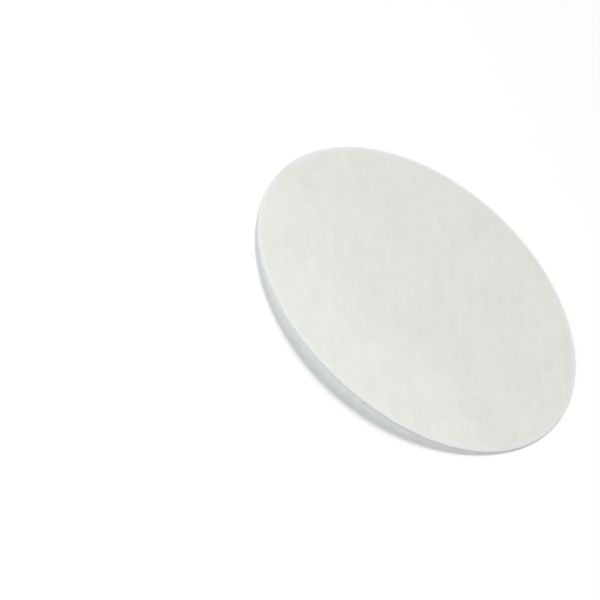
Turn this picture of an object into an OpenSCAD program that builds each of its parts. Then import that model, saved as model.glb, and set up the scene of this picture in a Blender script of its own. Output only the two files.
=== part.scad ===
// Filter paper disc: one round, die-cut sheet of laboratory filter paper with a faint curl.
// It lies on a flat band across its middle. The two margins beside the band lift, one more than the other.
// Frame: origin at the middle of the underside, +Z up out of the upper face, millimetres.

/* [Sheet] */
// Diameter that the disc is die-cut to
disc_d = 90; // [55:1:185]
// Thickness of the paper
sheet_t = 0.2; // [0.1:0.01:0.5]

/* [Curl] */
// Width of the flat band that the disc lies on
flat_w = 14; // [8:1:30]
// Height of the freer margin's underside where it meets the rim
high_lift = 1.5; // [0.5:0.1:4]
// Height of the opposite margin's underside where it meets the rim
low_lift = 0.3; // [0.1:0.1:4]
// Direction in which the freer margin rises, anticlockwise from +X in degrees
curl_dir = 260; // [0:1:359]

/* [Look] */
// Colour of the paper
paper_color = "#e9ebe4"; // [#e9ebe4:Natural white, #f7f8f6:Bleached white]

/* [Hidden] */

// Distance over which a margin curls, from the edge of the flat band to the rim
margin_w = (disc_d - flat_w) / 2;
// Length by which the uncut web reaches past the die on every side
web_over = 1;
// Height of the die, well above the lifted rim
die_h = 2 * (max(high_lift, low_lift) + sheet_t);
// Facets in a full turn of a curl's long radius and of the die
curl_fn = 1440;
die_fn = 360;

// Step that a curl's radius is rounded to, so that both faces of the sheet keep exact radii
curl_step = 0.1;

// Radius of an underside that leaves the flat band at a tangent and reaches this lift at the rim
function curl_r(lift) = curl_step * round((margin_w * margin_w + lift * lift) / (2 * lift * curl_step));

// Section of one curled margin: a slice of a thin ring, flat at the origin and rising along +X
module margin_section(lift) {
  intersection() {
    translate([0, curl_r(lift)]) difference() {
      circle(r = curl_r(lift), $fn = curl_fn);
      circle(r = curl_r(lift) - sheet_t, $fn = curl_fn);
    }
    square([margin_w + web_over, die_h]);
  }
}

// Section of the sheet across its curl: the flat band with a margin on each side
module sheet_section() {
  translate([-flat_w / 2, 0]) square([flat_w, sheet_t]);
  translate([flat_w / 2, 0]) margin_section(high_lift);
  mirror([1, 0]) translate([flat_w / 2, 0]) margin_section(low_lift);
}

// The web of paper that the disc is cut from, drawn out along the curl's straight lines
module web() {
  rotate([90, 0, 0]) linear_extrude(height = disc_d + 2 * web_over, center = true) sheet_section();
}

// The round die
module die() {
  cylinder(d = disc_d, h = die_h, $fn = die_fn);
}

module filter_disc() {
  color(paper_color) rotate([0, 0, curl_dir]) intersection() {
    web();
    die();
  }
}

filter_disc();
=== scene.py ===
import math

import bmesh
import bpy
import numpy as np
from mathutils import Matrix, Vector, noise


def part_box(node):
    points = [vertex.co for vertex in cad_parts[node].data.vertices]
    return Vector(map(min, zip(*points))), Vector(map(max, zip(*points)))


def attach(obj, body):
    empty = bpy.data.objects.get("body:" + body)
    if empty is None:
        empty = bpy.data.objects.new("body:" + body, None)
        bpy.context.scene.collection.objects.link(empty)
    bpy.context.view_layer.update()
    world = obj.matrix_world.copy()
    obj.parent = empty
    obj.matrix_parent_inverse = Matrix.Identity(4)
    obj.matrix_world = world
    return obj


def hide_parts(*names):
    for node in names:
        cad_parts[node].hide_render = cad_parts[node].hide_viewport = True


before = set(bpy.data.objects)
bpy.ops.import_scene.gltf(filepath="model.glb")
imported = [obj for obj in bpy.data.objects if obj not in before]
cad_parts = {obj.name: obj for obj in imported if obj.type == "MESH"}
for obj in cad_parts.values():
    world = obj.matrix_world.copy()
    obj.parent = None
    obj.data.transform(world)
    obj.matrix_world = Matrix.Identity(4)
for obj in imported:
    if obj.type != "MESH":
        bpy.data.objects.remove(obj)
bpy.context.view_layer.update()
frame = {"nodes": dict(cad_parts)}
print("frame loaded:", ", ".join(frame["nodes"]))

mm = 0.001  # lengths below are in millimetres, and the scene is in metres


class Tap:
    # one output of a shader node, so that shader maths reads as plain sums
    def __init__(self, web, socket):
        self.web = web
        self.socket = socket

    def maths(self, operation, *values):
        return self.web.node("ShaderNodeMath", {"operation": operation}, dict(enumerate(values)))

    def __add__(self, other):
        return self.maths("ADD", self, other)

    def __sub__(self, other):
        return self.maths("SUBTRACT", self, other)

    def __rsub__(self, other):
        return self.maths("SUBTRACT", other, self)

    def __mul__(self, other):
        return self.maths("MULTIPLY", self, other)

    def __abs__(self):
        return self.maths("ABSOLUTE", self)

    __radd__ = __add__
    __rmul__ = __mul__


class Web:
    # the node tree of one material or of the world
    def __init__(self, owner):
        owner.use_nodes = True
        self.tree = owner.node_tree
        self.tree.nodes.clear()

    def node(self, kind, settings=None, sockets=None, out=0):
        # adds a node, settings first, then its sockets' values and links; gives back the output named
        made = self.tree.nodes.new(kind)
        for name, value in (settings or {}).items():
            setattr(made, name, value)
        for name, value in (sockets or {}).items():
            if isinstance(value, Tap):
                self.tree.links.new(value.socket, made.inputs[name])
            else:
                made.inputs[name].default_value = value
        return Tap(self, made.outputs[out]) if made.outputs else made

    def between(self, low, high, share):
        # a colour part of the way from one to another, each a link or three numbers
        ends = [end if isinstance(end, Tap) else (*end, 1) for end in (low, high)]
        return self.node(
            "ShaderNodeMix",
            {"data_type": "RGBA", "clamp_factor": True},
            {"Factor": share, "A": ends[0], "B": ends[1]},
            out="Result",
        )


# The sheet: its outline and overall height come from the frame.
nodeLow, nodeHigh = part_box("filter_disc")
sheet = {
    "radius": (nodeHigh.y - nodeLow.y) / 2 / mm,
    "height": nodeHigh.z / mm,
    "thickness": 0.2,
    "flatBand": 14,        # width of the band that lies on the table
    "lowLift": 0.3,        # rise of the stiffer margin; the freer one has the rest of the height
    "curlTurn": 260,       # degrees from +X in which the freer margin rises
    "rings": 118,          # rings of triangles from the middle to the rim
    "cockle": 0.09,        # height of the soft waves that damp air leaves in paper
    "cockleSize": 24,
    "cockleStretch": 1.8,  # how much longer the waves are along the curl's straight lines
    "ripple": 0.3,         # narrower waves across the first, as shares of their height and size
    "rippleSize": 0.45,
    "rimWave": 0.12,       # a slower wave that grows from the middle to the rim
    "rimWaveSize": 30,
    "rimWaveGrowth": 3,
    "floc": 0.007,         # relief of the fibre clots on both faces
    "flocSize": 2.6,
    "flocFade": 1.0,       # how much fainter the finer clots are
    "slices": {"cockle": 3.7, "ripple": 8.1, "rim": 15.3, "topFloc": 1, "lowFloc": 2},  # of the noise
}

curlTurn = math.radians(sheet["curlTurn"])
curlAcross = Vector((math.cos(curlTurn), math.sin(curlTurn), 0))
curlAlong = Vector((-curlAcross.y, curlAcross.x, 0))


def curlRise(across):
    # how far the underside has left the table at this distance from the middle line
    margin = sheet["radius"] - sheet["flatBand"] / 2
    lift = sheet["height"] - sheet["thickness"] if across > 0 else sheet["lowLift"]
    bend = (margin ** 2 + lift ** 2) / (2 * lift)
    reach = max(0, abs(across) - sheet["flatBand"] / 2)
    return bend - math.sqrt(bend ** 2 - reach ** 2)


def cockleRise(x, y):
    # shallow waves, drawn out along the curl's straight lines, and the rim's slower wave
    across = x * curlAcross.x + y * curlAcross.y
    along = x * curlAlong.x + y * curlAlong.y
    size, lapSize, slices = sheet["cockleSize"], sheet["rimWaveSize"], sheet["slices"]
    waves = noise.noise(Vector((across / size, along / (sheet["cockleStretch"] * size), slices["cockle"])))
    ripples = noise.noise(Vector((across / (sheet["rippleSize"] * size), along / size, slices["ripple"])))
    lap = noise.noise(Vector((x / lapSize, y / lapSize, slices["rim"])))
    edge = (math.hypot(x, y) / sheet["radius"]) ** sheet["rimWaveGrowth"]
    return sheet["cockle"] * (waves + sheet["ripple"] * ripples) + sheet["rimWave"] * edge * lap


def tangle(spot, fade):
    # noise in two sizes, the finer one half as big and fainter
    finer, sizes = 2.0, 2
    return noise.fractal(spot, fade, finer, sizes)


def flocRise(x, y, face):
    # clotted fibres stand out by a few thousandths
    size = sheet["flocSize"]
    return sheet["floc"] * tangle(Vector((x / size, y / size, sheet["slices"][face])), sheet["flocFade"])


def ringStart(ring):
    # index of a ring's first point: the rings hold 1, 6, 12, 18... points
    return 1 + 3 * ring * (ring - 1) if ring else 0


def discFan(rings):
    # points of a unit disc in even rings, and the triangles between them, wound anticlockwise
    points = [(0.0, 0.0)]
    for ring in range(1, rings + 1):
        for step in range(6 * ring):
            turn = 2 * math.pi * step / (6 * ring)
            points.append((ring / rings * math.cos(turn), ring / rings * math.sin(turn)))
    faces = []
    for ring in range(rings):
        inner, outer = ringStart(ring), ringStart(ring + 1)
        for step in range(6 * (ring + 1)):
            side, place = divmod(step, ring + 1)
            near = inner + (side * ring + place) % max(6 * ring, 1)
            here = outer + step
            after = outer + (step + 1) % (6 * (ring + 1))
            faces.append((here, after, near))
            if place < ring:
                faces.append((after, inner + (side * ring + place + 1) % (6 * ring), near))
    return points, faces


# The die leaves the margin pressed down, the upper edge rolled over and the lower one with a faint burr.
rimSection = {
    "press": 0.05,         # how far the die has pressed the margin of the upper face down
    "pressWidth": 1.1,
    "roll": 0.07,          # radius of the rolled upper edge
    "rollSteps": 3,
    "support": 0.05,       # a narrow flat ring that keeps the roll's shading off the face
    "wallRows": (0.6, 0.8),  # rows of points down the cut, as shares of the thickness
    "burrRow": 0.94,
    "burr": 0.012,
    "fray": 0.022,         # torn fibre ends along the cut
    "fraySize": 0.7,
    "frayThrough": 0.3,    # size of the fibre ends through the thickness, as a share of that
    "frayFade": 0.8,
}


def pressedBy(reach):
    # fall of the upper face at this distance from the middle
    share = (reach - sheet["radius"]) / rimSection["pressWidth"] + 1
    return rimSection["press"] * min(max(share, 0), 1) ** 2


def rimProfile():
    # the edge from the top face down, as (inset, depth)
    roll, thick, burr = rimSection["roll"], sheet["thickness"], rimSection["burr"]
    profile = [(roll, 0.0)]
    for step in range(1, rimSection["rollSteps"] + 1):
        turn = math.pi / 2 * step / rimSection["rollSteps"]
        profile.append((roll * (1 - math.sin(turn)), roll * (1 - math.cos(turn))))
    for row in rimSection["wallRows"]:
        profile.append((0.0, row * thick))
    profile.append((-burr, rimSection["burrRow"] * thick))
    profile.append((burr, thick))
    return profile


def frayOut(turn, depth):
    # how far the cut edge strays from the die's circle
    size = rimSection["fraySize"]
    arc = sheet["radius"] / size
    through = depth / (rimSection["frayThrough"] * size)
    spot = Vector((arc * math.cos(turn), arc * math.sin(turn), through))
    return rimSection["fray"] * tangle(spot, rimSection["frayFade"])


def makeSheet():
    rings, radius, thick = sheet["rings"], sheet["radius"], sheet["thickness"]
    fanPoints, fanFaces = discFan(rings)
    topRadius = radius - rimSection["roll"] - rimSection["support"]
    lowRadius = radius - rimSection["support"]
    around = 6 * rings
    points, faces = [], []

    def underside(x, y):
        return curlRise(x * curlAcross.x + y * curlAcross.y) + cockleRise(x, y)

    def strip(upper, lower):
        # faces between two loops of points
        for step in range(around):
            after = (step + 1) % around
            faces.append((upper[step], lower[step], lower[after], upper[after]))

    # upper face
    for x, y in fanPoints:
        x, y = x * topRadius, y * topRadius
        top = thick - pressedBy(math.hypot(x, y)) + flocRise(x, y, "topFloc")
        points.append((x, y, underside(x, y) + top))
    faces += fanFaces
    loop = [ringStart(rings) + step for step in range(around)]
    # rolled edge, cut and burr
    for inset, depth in rimProfile():
        start = len(points)
        for step in range(around):
            turn = 2 * math.pi * step / around
            reach = radius - inset + (frayOut(turn, depth) if depth else 0)
            x, y = reach * math.cos(turn), reach * math.sin(turn)
            points.append((x, y, underside(x, y) + (thick - pressedBy(reach)) * (1 - depth / thick)))
        nextLoop = [start + step for step in range(around)]
        strip(loop, nextLoop)
        loop = nextLoop
    # underside
    start = len(points)
    for x, y in fanPoints:
        x, y = x * lowRadius, y * lowRadius
        points.append((x, y, underside(x, y) - flocRise(x, y, "lowFloc")))
    faces += [tuple(start + i for i in reversed(face)) for face in fanFaces]
    strip(loop, [start + ringStart(rings) + step for step in range(around)])

    places = np.array(points)
    places[:, 2] -= places[:, 2].min()  # the lowest waves touch the table
    mesh = bpy.data.meshes.new("filterPaperDisc")
    mesh.from_pydata((places * mm).tolist(), [], faces)
    mesh.validate()
    mesh.shade_smooth()
    piece = bpy.data.objects.new("filterPaperDisc", mesh)
    bpy.context.scene.collection.objects.link(piece)
    return piece


# White cotton linters: a faint green-grey cast, clotted and a little streaky along the grain.
paper = {
    "thin": (0.772, 0.771, 0.727),
    "dense": (0.828, 0.829, 0.786),
    # a lighter tone for the rim: partly the paler fluffed fibres of the cut, partly a painted highlight of
    # the rim catching light
    "rimHighlightAndFluff": (0.837, 0.851, 0.829),
    "edgeFrom": 1.8,       # the margin lightens between these distances in from the rim: paler fluffed fibres at the cut, and a painted highlight of the rim catching light
    "edgeTo": 0.2,
    "grainTurn": 119,      # degrees from +X along which most of the fibres lie
    "depth": 0.05,         # how far light wanders between the fibres, so a little comes through
    "scatter": (1.0, 1.0, 0.9),
    "roughness": 0.88,
    "fibreRoughness": 0.2,
    "tooth": 0.024,        # height of the fibre relief
    "ior": 1.5,
    "specular": 0.25,
    "sheen": 0.08,
    "sheenRoughness": 0.6,
    # what clouds the paper, drawn out along the grain by the stretch
    "clots": {"size": 3.2, "stretch": 1.2, "detail": 3, "shift": 4},
    "clouds": {"size": 14, "stretch": 1.4, "detail": 1, "shift": 9},
    "streaks": {"size": 2.4, "stretch": 9, "detail": 1, "shift": 17},
    "speck": {"size": 0.35, "stretch": 1, "detail": 2, "shift": 51},
    # sets of fibres that cross, each turned this many degrees from the grain
    "fibres": {"size": 0.22, "stretch": 9, "detail": 1, "shift": 23, "shiftStep": 5},
    "fibreTurns": (8, 47, 86, 131, 165),
    "fibreMean": 0.28,     # what the sets add up to on average
    "middleTone": 0.5,
    "inTone": {"clots": 1.3, "clouds": 1.2, "streaks": 0.7, "fibres": 0.6, "speck": 0.45},
    "inRelief": {"fibres": 1.2, "speck": 0.8, "clots": 0.6},
}


def paperMaterial():
    material = bpy.data.materials.new("filterPaper")
    web = Web(material)
    metres = web.node("ShaderNodeTexCoord", out="Object")
    place = web.node("ShaderNodeVectorMath", {"operation": "SCALE"}, {0: metres, "Scale": 1 / mm})

    def turned(vector, degrees):
        return web.node(
            "ShaderNodeVectorRotate",
            {"rotation_type": "Z_AXIS"},
            {"Vector": vector, "Angle": math.radians(degrees)},
        )

    grain = turned(place, 90 - paper["grainTurn"])

    def lumps(size, stretch, detail, shift, turn=0):
        # cloudy noise with lumps this many millimetres across, 0 on average
        spread = (1 / size, 1 / (size * stretch), 1 / size)
        scaled = web.node(
            "ShaderNodeVectorMath",
            {"operation": "MULTIPLY_ADD"},
            {0: turned(grain, turn), 1: spread, 2: (shift, shift, shift)},
        )
        found = web.node(
            "ShaderNodeTexNoise",
            {"noise_dimensions": "3D"},
            {"Vector": scaled, "Scale": 1, "Detail": detail},
        )
        return found - 0.5

    clots = lumps(**paper["clots"])
    clouds = lumps(**paper["clouds"])
    streaks = lumps(**paper["streaks"])
    speck = lumps(**paper["speck"])
    strand = paper["fibres"]
    fibres = 0
    for index, turn in enumerate(paper["fibreTurns"]):
        shift = strand["shift"] + strand["shiftStep"] * index
        fibres = fibres + abs(lumps(strand["size"], strand["stretch"], strand["detail"], shift, turn))
    fibres = fibres - paper["fibreMean"]

    share = paper["inTone"]
    wide = clots * share["clots"] + clouds * share["clouds"] + streaks * share["streaks"]
    density = paper["middleTone"] + wide + fibres * share["fibres"] + speck * share["speck"]
    share = paper["inRelief"]
    relief = fibres * share["fibres"] + speck * share["speck"] + clots * share["clots"]
    flat = web.node("ShaderNodeVectorMath", {"operation": "MULTIPLY"}, {0: place, 1: (1, 1, 0)})
    fromMiddle = web.node("ShaderNodeVectorMath", {"operation": "LENGTH"}, {0: flat}, out="Value")
    # how far the rim's lighter tone reaches: the fluffed fibres of the cut and a painted highlight along
    # the rim
    rimHighlightAndFluffShare = web.node(
        "ShaderNodeMapRange",
        {"interpolation_type": "SMOOTHSTEP"},
        {
            "Value": fromMiddle,
            "From Min": sheet["radius"] - paper["edgeFrom"],
            "From Max": sheet["radius"] - paper["edgeTo"],
        },
    )
    tone = web.between(web.between(paper["thin"], paper["dense"], density), paper["rimHighlightAndFluff"], rimHighlightAndFluffShare)
    bump = web.node("ShaderNodeBump", {}, {"Height": relief, "Distance": paper["tooth"] * mm})
    skin = web.node(
        "ShaderNodeBsdfPrincipled",
        {},
        {
            "Base Color": tone,
            "Roughness": paper["roughness"] + fibres * paper["fibreRoughness"],
            "IOR": paper["ior"],
            "Specular IOR Level": paper["specular"],
            "Subsurface Weight": 1,
            "Subsurface Radius": paper["scatter"],
            "Subsurface Scale": paper["depth"] * mm,
            "Sheen Weight": paper["sheen"],
            "Sheen Roughness": paper["sheenRoughness"],
            "Normal": bump,
        },
    )
    web.node("ShaderNodeOutputMaterial", {}, {"Surface": skin})
    return material


disc = makeSheet()
disc.data.materials.append(paperMaterial())
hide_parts("filter_disc")
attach(disc, "root")
print("sheet made:", len(disc.data.polygons), "faces")

# A pale table that runs out past every view, and a faint glow that keeps its shadows soft.
table = {
    "radius": 3000,
    "sides": 96,
    "tone": (0.955, 0.955, 0.955),
    "roughness": 0.9,
    "specular": 0.1,
    "glow": 0.16,
    "glowTone": (1.0, 0.95, 0.96),
}


def makeTable():
    shape = bmesh.new()
    bmesh.ops.create_circle(shape, cap_ends=True, segments=table["sides"], radius=table["radius"] * mm)
    mesh = bpy.data.meshes.new("table")
    shape.to_mesh(mesh)
    shape.free()
    piece = bpy.data.objects.new("table", mesh)
    bpy.context.scene.collection.objects.link(piece)
    material = bpy.data.materials.new("paleTable")
    web = Web(material)
    skin = web.node(
        "ShaderNodeBsdfPrincipled",
        {},
        {
            "Base Color": (*table["tone"], 1),
            "Roughness": table["roughness"],
            "Specular IOR Level": table["specular"],
            "Emission Color": (*table["glowTone"], 1),
            "Emission Strength": table["glow"],
        },
    )
    web.node("ShaderNodeOutputMaterial", {}, {"Surface": skin})
    mesh.materials.append(material)


# A studio that is bright near the horizon and dimmer overhead; low and high are heights on a unit dome.
studio = {"horizon": 0.96, "zenith": 0.247, "low": 0.1, "high": 0.45}


def lightStudio():
    world = bpy.data.worlds.new("studio")
    bpy.context.scene.world = world
    web = Web(world)
    direction = web.node("ShaderNodeTexCoord", out="Generated")
    height = web.node("ShaderNodeSeparateXYZ", {}, {"Vector": direction}, out="Z")
    strength = web.node(
        "ShaderNodeMapRange",
        {"interpolation_type": "SMOOTHSTEP"},
        {
            "Value": height,
            "From Min": studio["low"],
            "From Max": studio["high"],
            "To Min": studio["horizon"],
            "To Max": studio["zenith"],
        },
    )
    sky = web.node("ShaderNodeBackground", {}, {"Color": (1, 1, 1, 1), "Strength": strength})
    web.node("ShaderNodeOutputWorld", {}, {"Surface": sky})


# A low, soft key from behind the disc and a cool fill beside it: turn from +X and height in degrees.
keyLamp = {
    "turn": 100,
    "height": 26,
    "away": 1000,
    "softness": 20,
    "power": 3.64,
    "tone": (1.0, 0.985, 0.955),
}
fillLamp = {
    "turn": 232,
    "height": 24,
    "away": 320,
    "size": 200,
    "power": 0.3,
    "tone": (0.8, 1.0, 1.02),
}


def hangLamp(name, kind, lamp):
    # hangs a lamp where its turn and height say, looking at the middle of the disc
    light = bpy.data.lights.new(name, kind)
    light.energy = lamp["power"]
    light.color = lamp["tone"]
    holder = bpy.data.objects.new(name, light)
    turn, height = math.radians(lamp["turn"]), math.radians(lamp["height"])
    level = math.cos(height)
    toLamp = Vector((math.cos(turn) * level, math.sin(turn) * level, math.sin(height)))
    holder.location = toLamp * lamp["away"] * mm
    holder.rotation_euler = toLamp.to_track_quat("Z", "Y").to_euler()
    holder.visible_camera = False
    bpy.context.scene.collection.objects.link(holder)
    return light


makeTable()
lightStudio()
hangLamp("key", "SUN", keyLamp).angle = math.radians(keyLamp["softness"])
hangLamp("fill", "AREA", fillLamp).size = fillLamp["size"] * mm
print("table and light set")

# The camera looks down along +Y and is rolled, so that +X falls away to the lower right.
shot = {
    "lens": 100,
    "height": 41.3,          # degrees that it looks down by
    "roll": 40.1,
    "aim": (-21.2, -30.9),   # point of the table at the middle of the picture
    "distance": 378.4,
    "nearest": 10,           # what is nearer or farther than these isn't drawn
    "farthest": 20000,
}


def makeCamera():
    height, roll = math.radians(shot["height"]), math.radians(shot["roll"])
    ahead = Vector((0, math.cos(height), -math.sin(height)))
    level = Vector((1, 0, 0))
    upright = level.cross(ahead)
    right = level * math.cos(roll) + upright * math.sin(roll)
    up = upright * math.cos(roll) - level * math.sin(roll)
    camera = bpy.data.cameras.new("camera")
    camera.lens = shot["lens"]
    camera.clip_start, camera.clip_end = shot["nearest"] * mm, shot["farthest"] * mm
    holder = bpy.data.objects.new("camera", camera)
    turn = Matrix((right, up, -ahead)).transposed().to_4x4()
    spot = Vector((*shot["aim"], 0)) * mm - ahead * shot["distance"] * mm
    holder.matrix_world = Matrix.Translation(spot) @ turn
    bpy.context.scene.collection.objects.link(holder)
    bpy.context.scene.camera = holder


makeCamera()
bpy.context.scene.view_settings.view_transform = "Standard"
print("camera set")
